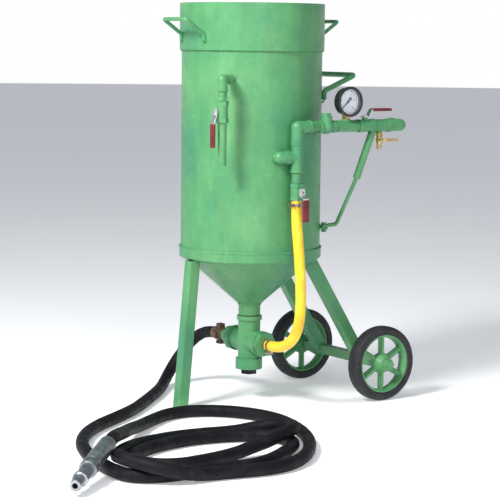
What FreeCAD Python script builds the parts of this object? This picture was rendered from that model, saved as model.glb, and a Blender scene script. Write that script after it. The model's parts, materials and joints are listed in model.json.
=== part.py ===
import FreeCAD
import Part
import math
import os

# Portable abrasive blasting pot. Millimetres, +Z up, floor at z = 0.
# While it is built, the tank's axis is x = y = 0, the wheels are on +X, the single front leg is on -X
# and the pipework is on -Y. At the end everything moves so that the origin is at the middle of the
# object's footprint, without its free hoses.

# Tank
TANK_R = 225.0
TANK_WALL = 4.0
SHELL_BOTTOM = 506.0
SHELL_TOP = 1137.0
COLLAR_R = 231.5
COLLAR_WALL = 3.0
COLLAR_TOP = 1285.0
BAND_R = 229.0
BAND_BOTTOM = 472.0
CONE_TOP_R = 210.0
NECK_R = 35.5
NECK_TOP = 318.0
PORT_R = 50.0
PORT_Z = 1083.0

# Pop-up filling valve on its stand pipe
SEAT_R = 62.0
SEAT_HEIGHT = 12.0
POP_UP_TRAVEL = 25.0
SEAT_GAP = 0.6
POP_UP_TOP = PORT_Z - SEAT_HEIGHT - POP_UP_TRAVEL - SEAT_GAP + 6.4
SLEEVE_LENGTH = 80.0
STAND_PIPE_TOP = 1030.0

# Outlet cross under the cone
BRANCH_Z = 196.0
CROSS_TOP = 280.0
CROSS_BOTTOM = 106.0
CROSS_ARM = 80.0
CROSS_BODY_R = 36.0
CROSS_BAND_R = 41.0
TWO_INCH_R = 30.15
TWO_INCH_BORE = 26.2

# One inch pipework
PIPE_R = 16.7
PIPE_BORE = 13.3
FITTING_R = 21.5
SOCKET_R = PIPE_R + 0.05
SOCKET_DEPTH = 16.0
RUN_Y = -256.0
RUN_Z = 903.0
ELBOW_ARM = 47.0
TEE_Z = 809.0
BYPASS_Z = 702.0
CHECK_X = 110.0
GAUGE_X = 187.0
INLET_X = 262.0
INLET_TEE_X = 321.0
END_ELBOW_X = 404.0

# Three quarter inch vent
VENT_POLAR = math.radians(-140.8)
VENT_REACH = 308.0
VENT_Z = 1050.0
VENT_VALVE_Z = 951.0
VENT_PIPE_R = 13.35
VENT_PIPE_BORE = 10.5
VENT_END_Z = 787.0

# Legs, axle and wheels
TUBE_SIDE = 38.0
TUBE_WALL = 3.0
TUBE_CORNER = 5.0
AXLE_X = 371.5
WHEEL_R = 122.5
WHEEL_Y = 223.0
TYRE_WIDTH = 50.0
RIM_R = 95.0
HUB_R = 34.0
AXLE_R = 12.5
BEAM_SIDE = 30.0
HINGE_FIT = 0.08

# Gauge and couplings
GAUGE_Z = 980.0
GAUGE_BACK_Y = -248.0
CLAW_Y = 168.0
INLET_HALF = 28.0
BYPASS_HALF = 26.0
INLET_TEE_ARM = 31.0
VALVE_THREAD = 10.0
TAIL_COLLAR = 12.0
AIR_BUSHING_HEX = 18.0
BLAST_BUSHING_HEX = 22.0

# Hoses
BYPASS_HOSE_R = 17.0
BLAST_HOSE_R = 19.0
BARB_R = 13.0

X = FreeCAD.Vector(1, 0, 0)
Y = FreeCAD.Vector(0, 1, 0)
Z = FreeCAD.Vector(0, 0, 1)

nodes = {}


def at(x, y, z):
    return FreeCAD.Vector(x, y, z)


def unit(vector):
    return FreeCAD.Vector(vector) / vector.Length


# The elbow beside the riser, from which the air goes into the tank along the line to its axis
BRANCH = at(-54.4, -240, TEE_Z)
BRANCH_IN = unit(at(-BRANCH.x, -BRANCH.y, 0))
BRANCH_WAY = unit(BRANCH - at(0, RUN_Y, TEE_Z))
BRANCH_ARM = 25.0
RISER_TEE_ARM = 31.0

# Where the brace runs, from the air line down to its lug on the tank
BRACE_TOP = at(294, RUN_Y, RUN_Z - PIPE_R)
BRACE_STEP = at(261, -219, 734)
BRACE_BEND = at(219, -171, 583)
LUG_EYE = at(184, -151, 577)

# Routes of the hoses, each from its fitting
BYPASS_TOP = BYPASS_Z - BYPASS_HALF - 3.0
BYPASS_ROUTE = [
    at(0, RUN_Y, BYPASS_TOP),
    at(0, RUN_Y, BYPASS_TOP - 60),
    at(0, -268, BYPASS_TOP - 130),
    at(0, -281, BYPASS_TOP - 225),
    at(0, -287, BYPASS_TOP - 310),
    at(0, -281, 296),
    at(0, -258, 245),
    at(0, -214, 211),
    at(0, -160, BRANCH_Z),
    at(0, -CROSS_ARM - AIR_BUSHING_HEX - TAIL_COLLAR, BRANCH_Z),
]
BLAST_ROUTE = [
    at(0, CLAW_Y + 34, BRANCH_Z),
    at(-2, 255, 192),
    at(-12, 302, 168),
    at(-33, 336, 128),
    at(-66, 346, 83),
    at(-104, 331, 45),
    at(-148, 289, 24),
    at(-198, 229, 19.5),
    at(-262, 159, 19.5),
    at(-345, 76, 19.5),
    at(-440, -17, 19.5),
    at(-548, -96, 19.5),
    at(-655, -166, 19.5),
    at(-745, -250, 19.5),
    at(-815, -352, 19.5),
    at(-862, -470, 19.5),
    at(-888, -590, 19.5),
    at(-899, -690, 19.5),
]
COIL_CENTRE = at(-490, -525, 0)
COIL_LONG = unit(at(-0.62, -0.78, 0))
COIL_HALF_LONG = 495.0
COIL_HALF_WIDE = 330.0
COIL_HEIGHT = 76.0
HOLDER_START = at(-884, -628, 80)
HOLDER_AIM = unit(at(-0.716, -0.677, -0.165))


def rod(start, end, radius):
    axis = end - start
    return Part.makeCylinder(radius, axis.Length, start, axis)


def pipe(start, end, outer, inner):
    return rod(start, end, outer).cut(rod(start, end, inner))


def ball(centre, radius):
    return Part.makeSphere(radius, centre)


def block(x_range, y_range, z_range):
    corner = at(x_range[0], y_range[0], z_range[0])
    size = [end - start for start, end in (x_range, y_range, z_range)]
    return Part.makeBox(size[0], size[1], size[2], corner)


def placed(shape, base, x_axis, z_axis):
    """Moves a shape from its own axes to a base point, with its x and z along the given directions."""
    turn = FreeCAD.Rotation(x_axis, z_axis.cross(x_axis), z_axis, "ZXY")
    moved = shape.copy()
    moved.Placement = FreeCAD.Placement(base, turn).multiply(shape.Placement)
    return moved


def side_of(axis):
    """A direction square to the axis: X, or Y where the axis is X."""
    return Y if abs(axis.x) > 0.9 else unit(X - axis * X.dot(axis))


def hexagon(start, end, flats):
    axis = end - start
    corner = flats / math.sqrt(3.0)
    turns = [k * math.pi / 3 for k in range(7)]
    points = [at(corner * math.cos(turn), corner * math.sin(turn), 0) for turn in turns]
    bar = Part.Face(Part.makePolygon(points)).extrude(Z * axis.Length)
    bar = bar.common(Part.makeCylinder(corner * 0.985, axis.Length))
    return placed(bar, start, side_of(unit(axis)), unit(axis))


def turned(profile, base, axis):
    """A solid of revolution: the profile lists (radius, distance along the axis)."""
    points = [at(radius, 0, along) for radius, along in profile]
    face = Part.Face(Part.makePolygon(points + points[:1]))
    solid = face.revolve(at(0, 0, 0), Z, 360)
    return placed(solid, base, side_of(unit(axis)), unit(axis))


def joined(shapes):
    whole = shapes[0]
    for shape in shapes[1:]:
        whole = whole.fuse(shape)
    return whole.removeSplitter()


def softened(shape, radius, wanted):
    """Rounds the edges that the test picks, and keeps the sharp shape where that can't be done."""
    edges = [edge for edge in shape.Edges if wanted(edge)]
    try:
        rounded = shape.makeFillet(radius, edges)
    except Exception:
        return shape
    return rounded if rounded.isValid() else shape


def corner_radii(points):
    """The largest gentle arc at each inner point of a hose's route."""
    radii = []
    for before, here, after in zip(points, points[1:], points[2:]):
        first = here - before
        second = after - here
        turn = first.getAngle(second)
        radii.append(0.45 * min(first.Length, second.Length) / math.tan(turn / 2))
    return radii


def route_wire(points, radii):
    """Straight runs joined by tangent arcs."""
    edges = []
    last = points[0]
    for before, here, after, radius in zip(points, points[1:], points[2:], radii):
        into = unit(here - before)
        out = unit(after - here)
        turn = into.getAngle(out)
        back = radius * math.tan(turn / 2)
        start = here - into * back
        end = here + out * back
        middle = here + unit(out - into) * (radius / math.cos(turn / 2) - radius)
        edges.append(Part.LineSegment(last, start).toShape())
        edges.append(Part.Arc(start, middle, end).toShape())
        last = end
    edges.append(Part.LineSegment(last, points[-1]).toShape())
    return Part.Wire(edges)


def swept(points, radii, section):
    wire = route_wire(points, radii)
    circle = Part.makeCircle(section, points[0], points[1] - points[0])
    return wire.makePipeShell([Part.Wire([circle])], True, False)


def bent_bar(points, section, bend):
    return swept(points, [bend] * (len(points) - 2), section)


def fitting(centre, arms, body, band, bore, socket):
    """A hollow pipe fitting: each arm is (direction, length), with a band and a socket at its end."""
    band_length = 0.32 * band
    outside = [ball(centre, body)]
    inside = [ball(centre, bore)]
    for direction, length in arms:
        end = centre + direction * length
        outside.append(rod(centre, end, body))
        outside.append(rod(end - direction * band_length, end, band))
        inside.append(rod(centre, end, bore))
        inside.append(rod(end - direction * SOCKET_DEPTH, end, socket))
    return joined(outside).cut(joined(inside))


def valve_body(half, barrel, bore, socket, ball_r, stem_r, boss):
    """A ball valve's body in its own axes: the pipe along x, the stem along z."""
    neck = half * 0.55
    outside = [rod(X * -neck, X * neck, barrel)]
    for sign in (-1, 1):
        outside.append(hexagon(X * (sign * neck), X * (sign * half), barrel * 2.0))
    outside.append(rod(Z * 0, Z * boss, stem_r + 4.5))
    inside = [rod(X * -half, X * half, bore), ball(at(0, 0, 0), ball_r + 0.3)]
    inside.append(rod(Z * 0, Z * boss, stem_r + HINGE_FIT))
    for sign in (-1, 1):
        inside.append(rod(X * (sign * (half - 12.0)), X * (sign * half), socket))
    return joined(outside).cut(joined(inside))


def ball_and_stem(bore, ball_r, stem_r, boss):
    solid = joined([ball(at(0, 0, 0), ball_r), rod(Z * 0, Z * (boss + 9.0), stem_r)])
    return solid.cut(rod(X * -ball_r, X * ball_r, bore))


def lever_plate(width, thick, hub, rise, run, reach, height):
    """A bent flat lever in the x-z plane, with its hub round the stem at the origin's z axis."""
    lean = thick * math.tan(math.atan2(rise, run - hub) / 2)
    outline = [
        at(-hub, 0, height),
        at(hub, 0, height),
        at(run, 0, height + rise),
        at(reach, 0, height + rise),
        at(reach, 0, height + rise + thick),
        at(run - lean, 0, height + rise + thick),
        at(hub - lean, 0, height + thick),
        at(-hub, 0, height + thick),
    ]
    plate = Part.Face(Part.makePolygon(outline + outline[:1])).extrude(Y * width)
    plate.translate(Y * (-width / 2))
    return plate


def valve_handle(stem_r, boss, width, rise, run, reach):
    """The lever with its nut, and the grip sleeve on it, in the valve's own axes."""
    thick = 3.0
    plate = lever_plate(width, thick, width * 0.6, rise, run, reach, boss + 0.5)
    plate = plate.cut(rod(Z * 0, Z * (boss + 9.0), stem_r))
    nut_low = boss + 0.5 + thick
    nut = hexagon(Z * nut_low, Z * (nut_low + 5.0), stem_r * 3.4).cut(rod(Z * 0, Z * (boss + 9.0), stem_r))
    middle = boss + 0.5 + rise + thick / 2
    half = width / 2 + 2.5
    sleeve = block((run + 2.0, reach + 4.0), (-half, half), (middle - 4.5, middle + 4.5))
    sleeve = softened(sleeve, 3.5, lambda edge: abs(unit(edge.tangentAt(0)).x) > 0.9)
    return Part.makeCompound([plate, nut]), sleeve.cut(plate)


def fixed_to(centre, pipe_axis, stem_axis, lever_axis, pieces):
    """Places a valve: its body by the pipe's axis, its handle by the lever's."""
    body, inner, lever, grip = pieces
    moved = [placed(body, centre, pipe_axis, stem_axis), placed(inner, centre, pipe_axis, stem_axis)]
    moved += [placed(lever, centre, lever_axis, stem_axis), placed(grip, centre, lever_axis, stem_axis)]
    return moved


# Tank

def tank_outside():
    """The solid that the shell, band and cone fill, used to trim what is welded to it."""
    profile = [(0, NECK_TOP), (NECK_R, NECK_TOP), (CONE_TOP_R, BAND_BOTTOM), (BAND_R - 6, BAND_BOTTOM)]
    profile += [(BAND_R, BAND_BOTTOM + 6), (BAND_R, SHELL_BOTTOM)]
    profile += [(TANK_R, SHELL_BOTTOM), (TANK_R, SHELL_TOP), (0, SHELL_TOP)]
    return turned(profile, at(0, 0, 0), Z)


def tank_shell():
    shell = pipe(Z * SHELL_BOTTOM, Z * SHELL_TOP, TANK_R, TANK_R - TANK_WALL)
    bead = Part.makeTorus(TANK_R, 3.5, Z * (SHELL_BOTTOM + 1.0), Z)
    bead = bead.cut(rod(Z * (SHELL_BOTTOM - 10), Z * SHELL_BOTTOM, TANK_R + 10))
    shell = joined([shell, bead.cut(rod(Z * SHELL_BOTTOM, Z * (SHELL_BOTTOM + 20), TANK_R - 1.0))])
    port = rod(BRANCH, BRANCH + BRANCH_IN * 60, SOCKET_R)
    vent = rod(vent_point(TANK_R - 20, VENT_Z), vent_point(TANK_R + 5, VENT_Z), VENT_PIPE_BORE)
    return shell.cut(port).cut(vent)


def outlet_cone():
    inner = TANK_WALL
    profile = [(NECK_R, NECK_TOP), (CONE_TOP_R, BAND_BOTTOM), (BAND_R - 6, BAND_BOTTOM)]
    profile += [(BAND_R, BAND_BOTTOM + 6), (BAND_R, SHELL_BOTTOM)]
    profile += [(TANK_R - inner, SHELL_BOTTOM), (TANK_R - inner, BAND_BOTTOM + 12)]
    profile += [(CONE_TOP_R - 2, BAND_BOTTOM + 6), (NECK_R - 5, NECK_TOP + 2), (NECK_R - 5, NECK_TOP)]
    return turned(profile, at(0, 0, 0), Z)


def upper_head():
    profile = [(TANK_R, SHELL_TOP), (TANK_R, SHELL_TOP + 4), (TANK_R - 12, SHELL_TOP + 4)]
    profile += [(PORT_R + 26, PORT_Z + 9), (PORT_R, PORT_Z + 5), (PORT_R, PORT_Z), (PORT_R + 27, PORT_Z + 4)]
    profile += [(TANK_R - 14, SHELL_TOP)]
    return turned(profile, at(0, 0, 0), Z)


def filler_collar():
    wall = pipe(Z * SHELL_TOP, Z * COLLAR_TOP, COLLAR_R, COLLAR_R - COLLAR_WALL)
    lip = pipe(Z * SHELL_TOP, Z * (SHELL_TOP + 5), COLLAR_R, TANK_R + 0.1)
    return joined([wall, lip])


def seat_seal():
    low = PORT_Z - SEAT_HEIGHT
    profile = [(PORT_R, low + 3), (PORT_R + 3, low), (SEAT_R, low), (SEAT_R, PORT_Z), (PORT_R, PORT_Z)]
    return turned(profile, at(0, 0, 0), Z)


def pop_up_valve():
    """A cone on a sleeve that slides on the stand pipe; at rest it hangs open, below its seat."""
    top = POP_UP_TOP
    sleeve_r = PIPE_R + HINGE_FIT
    profile = [(0, top + 32), (10, top + 30), (SEAT_R, top - 14), (SEAT_R, top - 20), (26, top - 24)]
    profile += [(22, top - SLEEVE_LENGTH), (sleeve_r, top - SLEEVE_LENGTH), (sleeve_r, top - 6), (0, top - 6)]
    return turned(profile, at(0, 0, 0), Z)


def stand_pipe():
    """The air's way into the tank: it guides the filling valve, with a stop and two air holes under it."""
    inlet = at(0, 0, TEE_Z) - BRANCH_IN * (TANK_R - 14)
    bend = at(0, 0, TEE_Z) - BRANCH_IN * 85
    route = [inlet, bend, at(0, 0, TEE_Z + 60), at(0, 0, STAND_PIPE_TOP)]
    pipe_solid = bent_bar(route, PIPE_R, 40.0).cut(bent_bar(route, PIPE_BORE, 40.0))
    stop_top = POP_UP_TOP - SLEEVE_LENGTH - 0.3
    stop = pipe(Z * (stop_top - 8), Z * stop_top, PIPE_R + 6, PIPE_R - 1.0)
    air_holes = rod(at(-PIPE_R * 2, 0, stop_top - 26), at(PIPE_R * 2, 0, stop_top - 26), 7.0)
    return joined([pipe_solid, stop]).cut(air_holes)


def outlet_socket():
    """The half socket under the cone and the two inch nipple that screws into the cross."""
    socket = pipe(Z * (CROSS_TOP + 4), Z * NECK_TOP, NECK_R, TWO_INCH_BORE)
    nipple = pipe(Z * (CROSS_TOP - SOCKET_DEPTH), Z * (CROSS_TOP + 6), TWO_INCH_R, TWO_INCH_BORE)
    bead = Part.makeTorus(NECK_R - 1, 2.5, Z * (NECK_TOP - 2.5), Z)
    return joined([socket, nipple, bead.cut(rod(Z * 290, Z * 330, NECK_R - 2))])


def mixing_cross():
    centre = Z * BRANCH_Z
    arms = [(Z, CROSS_TOP - BRANCH_Z), (Z * -1, BRANCH_Z - CROSS_BOTTOM)]
    arms += [(Y, CROSS_ARM), (Y * -1, CROSS_ARM)]
    cross = fitting(centre, arms, CROSS_BODY_R, CROSS_BAND_R, TWO_INCH_BORE, TWO_INCH_R + 0.05)
    skirt = pipe(Z * CROSS_BOTTOM, Z * (CROSS_BOTTOM + 34), CROSS_BAND_R + 2.5, TWO_INCH_R + 0.05)
    skirt = skirt.cut(rod(Z * (CROSS_BOTTOM + SOCKET_DEPTH), Z * (CROSS_BOTTOM + 34), CROSS_BODY_R - 1))
    return joined([cross, skirt])


def clean_out_plug():
    thread = rod(Z * CROSS_BOTTOM, Z * (CROSS_BOTTOM + SOCKET_DEPTH - 1), TWO_INCH_R)
    head = hexagon(Z * (CROSS_BOTTOM - 17), Z * CROSS_BOTTOM, 48.0)
    return joined([thread, head])


def cross_bushing(side, bore, hex_thick):
    """A hexagon reducing bushing in a side branch of the cross; side is -1 or 1 along y."""
    face = at(0, side * CROSS_ARM, BRANCH_Z)
    inner = face - Y * (side * (SOCKET_DEPTH - 1))
    outer = face + Y * (side * hex_thick)
    solid = joined([rod(inner, face, TWO_INCH_R), hexagon(face, outer, 72.0)])
    return solid.cut(rod(inner, outer, bore))


def hose_tail(start, direction, thread_r, thread, collar_r, collar):
    """A hose tail: thread into the fitting behind it, a collar, and a barbed shank in the hose."""
    end = start + direction * (collar + 38)
    back = start - direction * thread
    pieces = [rod(back, start, thread_r), rod(start, start + direction * collar, collar_r)]
    barbs = [(BARB_R - 1.5, collar - 1), (BARB_R - 1.5, collar)]
    for ring in range(5):
        low = collar + 3 + 7 * ring
        barbs += [(BARB_R, low), (BARB_R - 1.5, low + 6.9)]
    barbs += [(0, collar + 38), (0, collar - 1)]
    pieces.append(turned(barbs, start, direction))
    return joined(pieces).cut(rod(back, end, 9.0))


def hose_clamp(centre, axis, screw_side, hose_r):
    """A band clamp with its screw housing on the given side."""
    half = axis * 5.0
    band = pipe(centre - half, centre + half, hose_r + 1.6, hose_r)
    across = axis.cross(screw_side)
    housing = Part.makeBox(8, 14, 10, at(-4, -7, -5))
    housing = placed(housing, centre + screw_side * (hose_r + 5.0), screw_side, axis)
    middle = centre + screw_side * (hose_r + 5.5)
    screw = rod(middle - across * 11, middle + across * 12, 3.0)
    head = hexagon(middle + across * 12, middle + across * 16, 8.0)
    return joined([band, housing.cut(rod(centre - half, centre + half, hose_r)), screw, head])


# Blast hose couplings and nozzle

def claw_half(joint, outward, claw_side, shank, bore):
    """One half of a quick claw coupling: its body lies outward of the joint plane.

    Two claws reach over the plane and hook behind the two ears of the other half.
    """
    other = outward.cross(claw_side)
    face = joint + outward * 0.1
    body = [rod(face, joint + outward * 12, 23.8), rod(face, joint + outward * shank, 20.5)]
    for sign in (-1, 1):
        arm = Part.makeBox(6, 20, 23, at(28.4, -10, -14))
        tip = Part.makeBox(6, 20, 5, at(24.2, -10, -14))
        foot = Part.makeBox(14, 20, 7, at(20.4, -10, 2))
        claw = softened(joined([arm, tip, foot]), 2.0, lambda edge: edge.Length > 18)
        body.append(placed(claw, joint, claw_side * sign, outward))
        ear = Part.makeBox(7.4, 17, 7.5, at(20.6, -8.5, 0.5))
        body.append(placed(ear, joint, other * sign, outward))
    whole = joined(body)
    return whole.cut(rod(joint, joint + outward * shank, bore))


def nozzle_parts(start, direction):
    """The aluminium nozzle holder and the nozzle screwed into it."""
    holder = [(BARB_R + 2, 0), (23, 0), (24, 3), (24, 140), (22, 146), (22, 150), (25.5, 153), (25.5, 182)]
    holder += [(24, 185), (18, 185), (18, 160), (BARB_R + 2, 150)]
    nozzle = [(11, 158), (17.9, 161), (17.9, 185), (19, 186), (19, 232), (21.5, 235), (21.5, 247)]
    nozzle += [(17.5, 250), (16, 285), (15, 288), (8, 288), (5, 230)]
    return turned(holder, start, direction), turned(nozzle, start, direction)


# Legs, axle and wheels

def square_tube(start, end, face_axis):
    """A square tube with rounded corners, one pair of faces square to face_axis."""
    axis = unit(end - start)
    across = unit(face_axis - axis * face_axis.dot(axis))
    length = (end - start).Length
    solids = []
    for inset in (0.0, TUBE_WALL):
        half = TUBE_SIDE / 2 - inset
        bar = Part.makeBox(2 * half, 2 * half, length, at(-half, -half, 0))
        bar = softened(bar, TUBE_CORNER - inset, lambda edge: abs(unit(edge.tangentAt(0)).z) > 0.9)
        solids.append(placed(bar, start, across, axis))
    return solids[0].cut(solids[1])


def front_leg():
    foot = at(-262, 0, 0)
    top = at(-218.5, 0, 480)
    lean = unit(top - foot)
    leg = square_tube(foot - lean * 20, top, Y)
    leg = leg.cut(block((-400, 0), (-100, 100), (-60, 4)))
    leg = leg.cut(tank_outside()).cut(block((-400, -100), (-60, 60), (BAND_BOTTOM, 520)))
    half = TUBE_SIDE / 2
    end_plate = block((foot.x - half, foot.x + half), (-half, half), (0, 4))
    end_plate = softened(end_plate, TUBE_CORNER, lambda edge: abs(unit(edge.tangentAt(0)).z) > 0.9)
    return joined([leg.Solids[0], end_plate])


def rear_leg(side):
    top = at(150.5, side * 108, 474)
    foot = at(AXLE_X, side * 112, WHEEL_R)
    leg = square_tube(foot, top, Y)
    leg = leg.cut(tank_outside()).cut(axle_box())
    leg = leg.cut(block((0, 400), (-200, 200), (0, WHEEL_R)))
    leg = leg.cut(block((0, 400), (-200, 200), (BAND_BOTTOM, 520)))
    return max(leg.Solids, key=lambda solid: solid.Volume)


def axle_box():
    half = BEAM_SIDE / 2
    reach = WHEEL_Y - 33.0
    return block((AXLE_X - half, AXLE_X + half), (-reach, reach), (WHEEL_R - half, WHEEL_R + half))


def axle_beam():
    spindle = rod(at(AXLE_X, -WHEEL_Y - 52, WHEEL_R), at(AXLE_X, WHEEL_Y + 52, WHEEL_R), AXLE_R)
    return joined([axle_box(), spindle])


def axle_nuts():
    """A washer and a castle nut on each end of the axle."""
    solids = []
    for side in (-1, 1):
        washer_in = at(AXLE_X, side * (WHEEL_Y + 31.5), WHEEL_R)
        washer_out = at(AXLE_X, side * (WHEEL_Y + 34.5), WHEEL_R)
        nut_out = at(AXLE_X, side * (WHEEL_Y + 48), WHEEL_R)
        washer = rod(washer_in, washer_out, 22.0)
        nut = hexagon(washer_out, nut_out, 32.0)
        bore = rod(washer_in - Y * (side * 5), nut_out + Y * (side * 5), AXLE_R)
        solids.append(joined([washer, nut]).cut(bore))
    return solids


def wheel_rim(side):
    centre = at(AXLE_X, side * WHEEL_Y, WHEEL_R)
    ring = [(RIM_R, -20), (RIM_R, 20), (RIM_R - 5, 20), (RIM_R - 10, 6), (RIM_R - 10, -6), (RIM_R - 5, -20)]
    hub = [(HUB_R, 6), (26, 22), (22, 31), (AXLE_R + HINGE_FIT, 31), (AXLE_R + HINGE_FIT, -31)]
    hub += [(22, -31), (26, -22), (HUB_R, -6)]
    pieces = [turned(ring, centre, Y), turned(hub, centre, Y)]
    for spoke in range(6):
        blade = Part.makeBox(RIM_R - 6 - HUB_R + 8, 18, 9, at(HUB_R - 6, -9, -4.5))
        rib = Part.makeBox(RIM_R - 6 - HUB_R + 8, 7, 20, at(HUB_R - 6, -3.5, -10))
        angle = math.radians(60 * spoke + 30)
        outward = at(math.cos(angle), 0, math.sin(angle))
        pieces.append(placed(blade, centre, outward, Y))
        pieces.append(placed(rib, centre, outward, Y))
    return joined(pieces)


def wheel_tyre(side):
    centre = at(AXLE_X, side * WHEEL_Y, WHEEL_R)
    half = TYRE_WIDTH / 2
    profile = [(RIM_R, -22), (RIM_R + 4, -half), (WHEEL_R - 12, -half), (WHEEL_R - 3, -half + 7)]
    profile += [(WHEEL_R, -half + 14), (WHEEL_R, half - 14), (WHEEL_R - 3, half - 7), (WHEEL_R - 12, half)]
    profile += [(RIM_R + 4, half), (RIM_R, 22)]
    return turned(profile, centre, Y)


# Handles and brace

def lifting_handle(side):
    """A bent bar whose turned-down ends are welded to the collar."""
    wall = math.sqrt(COLLAR_R ** 2 - 65.0 ** 2)
    points = []
    for y in (-65, 65):
        ends = [at(side * (wall + 3), y, 1166), at(side * (wall + 3), y, 1186), at(side * 292, y, 1232)]
        points += ends if y < 0 else ends[::-1]
    bar = bent_bar(points, 6.0, 10.0)
    return bar.cut(rod(Z * SHELL_TOP, Z * COLLAR_TOP, COLLAR_R))


def push_handle():
    wall = math.sqrt(TANK_R ** 2 - 126.0 ** 2)
    points = []
    for y in (-126, 126):
        ends = [at(wall + 9, y, 982), at(wall + 9, y, 1009), at(318, y, 1060)]
        points += ends if y < 0 else ends[::-1]
    bar = bent_bar(points, 8.5, 15.0)
    return bar.cut(rod(Z * SHELL_BOTTOM, Z * SHELL_TOP, TANK_R))


def brace_tube():
    tube = pipe(BRACE_TOP + unit(BRACE_TOP - BRACE_STEP) * 20, BRACE_STEP, 12.0, 6.5)
    tee_face = run_point(INLET_TEE_X - INLET_TEE_ARM)
    tube = tube.cut(rod(tee_face - X * 60, tee_face + X * 0.3, FITTING_R + 1.6))
    return tube.cut(rod(tee_face, run_point(END_ELBOW_X), FITTING_R))


def brace_rod():
    up = unit(BRACE_TOP - BRACE_STEP)
    shaft = [BRACE_STEP + up * 45, BRACE_STEP, BRACE_BEND, LUG_EYE + unit(BRACE_BEND - LUG_EYE) * 9]
    shaft = bent_bar(shaft, 6.4, 12.0)
    eye = rod(LUG_EYE - Z * 4, LUG_EYE + Z * 4, 13.0)
    whole = joined([shaft, eye]).cut(rod(LUG_EYE - Z * 12, LUG_EYE - Z * 4, 14.0))
    whole = whole.cut(rod(LUG_EYE + Z * 4, LUG_EYE + Z * 12, 12.0))
    return whole.cut(rod(LUG_EYE - Z * 9, LUG_EYE + Z * 9, 5.05))


def brace_lug():
    """A flat lug on the tank's wall under the eye of the brace."""
    outward = unit(at(LUG_EYE.x, LUG_EYE.y, 0))
    plate = Part.makeBox(40, 26, 6, at(-30, -13, -10))
    plate = placed(plate, LUG_EYE, outward, Z)
    tip = rod(LUG_EYE - Z * 10, LUG_EYE - Z * 4, 13.0)
    lug = joined([plate, tip]).cut(rod(Z * SHELL_BOTTOM, Z * SHELL_TOP, TANK_R))
    return lug.cut(rod(LUG_EYE - Z * 12, LUG_EYE, 5.05))


def brace_bolt():
    shank = rod(LUG_EYE - Z * 20, LUG_EYE + Z * 4, 5.0)
    head = hexagon(LUG_EYE + Z * 4, LUG_EYE + Z * 11, 17.0)
    nut = hexagon(LUG_EYE - Z * 18, LUG_EYE - Z * 10, 17.0)
    return joined([shank, head, nut])


# Vent

def vent_point(reach, z):
    return at(reach * math.cos(VENT_POLAR), reach * math.sin(VENT_POLAR), z)


def vent_pipes():
    """The stub on the tank, the nipple over the valve and the drop pipe under it."""
    stub = pipe(vent_point(200, VENT_Z), vent_point(VENT_REACH - 18, VENT_Z), VENT_PIPE_R, VENT_PIPE_BORE)
    stub = stub.cut(rod(Z * SHELL_BOTTOM, Z * SHELL_TOP, TANK_R))
    valve_top = VENT_VALVE_Z + 33
    nipple_top = vent_point(VENT_REACH, VENT_Z - 32)
    nipple = pipe(nipple_top, vent_point(VENT_REACH, valve_top - VALVE_THREAD), VENT_PIPE_R, VENT_PIPE_BORE)
    nut = hexagon(vent_point(VENT_REACH, valve_top + 1), vent_point(VENT_REACH, valve_top + 12), 30.0)
    nut = nut.cut(rod(vent_point(VENT_REACH, valve_top), vent_point(VENT_REACH, valve_top + 20), 13.0))
    low = vent_point(VENT_REACH, VENT_END_Z)
    drop = pipe(low, vent_point(VENT_REACH, VENT_VALVE_Z - 33 + 11), VENT_PIPE_R, VENT_PIPE_BORE)
    return [stub.Solids[0], joined([nipple, nut]), drop]


def vent_elbow():
    inward = unit(vent_point(1, 0)) * -1
    arms = [(inward, 34.0), (Z * -1, 36.0)]
    return fitting(vent_point(VENT_REACH, VENT_Z), arms, 15.5, 17.0, VENT_PIPE_BORE, VENT_PIPE_R + 0.05)


def vent_valve():
    pieces = [valve_body(33.0, 17.0, 9.5, VENT_PIPE_R + 0.05, 15.0, 4.0, 24.0)]
    pieces.append(ball_and_stem(9.5, 15.0, 4.0, 24.0))
    pieces += valve_handle(4.0, 24.0, 17.0, 9.0, 34.0, 106.0)
    return fixed_to(vent_point(VENT_REACH, VENT_VALVE_Z), Z, X * -1, Z * -1, pieces)


# Air pipework

def run_point(x):
    return at(x, RUN_Y, RUN_Z)


def riser_point(z):
    return at(0, RUN_Y, z)


def one_inch_fitting(centre, arms):
    return fitting(centre, arms, FITTING_R - 2.0, FITTING_R, PIPE_BORE, SOCKET_R)


def pipe_elbows():
    riser = one_inch_fitting(run_point(0), [(Z * -1, ELBOW_ARM), (X, ELBOW_ARM)])
    inlet = one_inch_fitting(run_point(END_ELBOW_X), [(X * -1, ELBOW_ARM), (Y, ELBOW_ARM)])
    tank = one_inch_fitting(BRANCH, [(BRANCH_WAY * -1, BRANCH_ARM), (BRANCH_IN, 50.0)])
    tank = tank.cut(rod(Z * SHELL_BOTTOM, Z * SHELL_TOP, TANK_R))
    return [riser, inlet, tank.Solids[0], vent_elbow()]


def pipe_tees():
    riser = one_inch_fitting(riser_point(TEE_Z), [(Z, 46.0), (Z * -1, 47.0), (BRANCH_WAY, RISER_TEE_ARM)])
    centre = run_point(INLET_TEE_X)
    inlet = one_inch_fitting(centre, [(X, 35.0), (X * -1, INLET_TEE_ARM)])
    boss = rod(centre, centre - Z * 22, 10.0).cut(rod(centre - X * 30, centre + X * 30, PIPE_BORE))
    return [riser, joined([inlet, boss]).cut(rod(centre, centre - Z * 22, 6.55))]


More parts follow.
